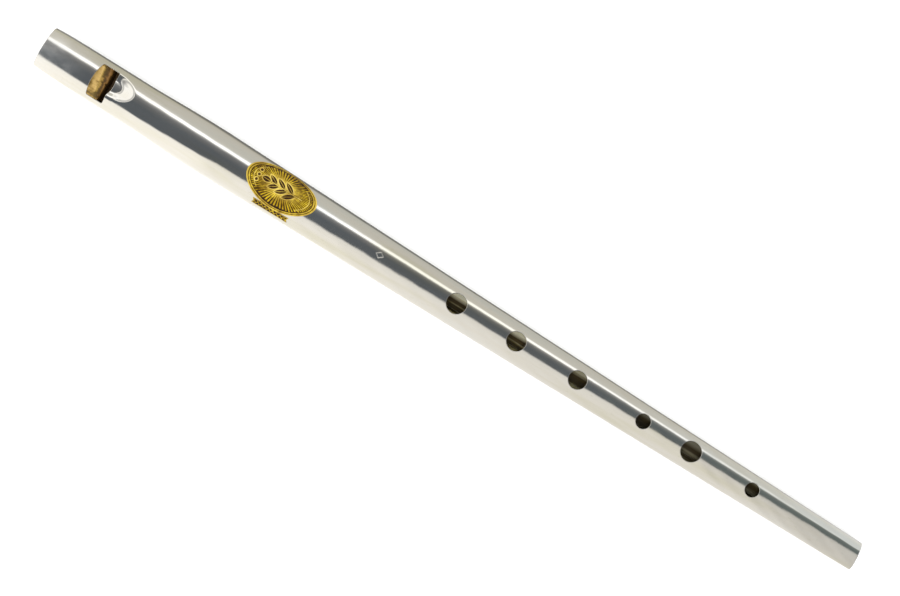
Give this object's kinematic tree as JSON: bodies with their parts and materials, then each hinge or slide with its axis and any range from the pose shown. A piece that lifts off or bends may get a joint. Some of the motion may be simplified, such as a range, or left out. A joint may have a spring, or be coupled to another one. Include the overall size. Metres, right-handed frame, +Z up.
{
  "type": "tin whistle",
  "caption": "Conical tinplate whistle with a squeezed head, wooden fipple block, window with a pressed lip, finger holes on top and an oval gold foil medallion.",
  "frame": {"origin": "middle of the wooden block's flat end, in the plane of the mouth end", "axes": "+X from the mouth end to the foot, level along the underside lap; +Z up, out of the finger holes; +Y completes a right-handed frame"},
  "size_m": [0.305, 0.016, 0.0165],
  "materials": {
    "tinplate": "bright rolled tinplate, polished",
    "cedar": "plain cut softwood, unvarnished",
    "gold_foil": "gold transfer film printed in dark brown"
  },
  "bodies": {
    "root": {"body_tube": "tinplate", "fipple_block": "cedar", "medallion_foil": "gold_foil", "ribbon_foil": "gold_foil"}
  },
  "joints": []
}
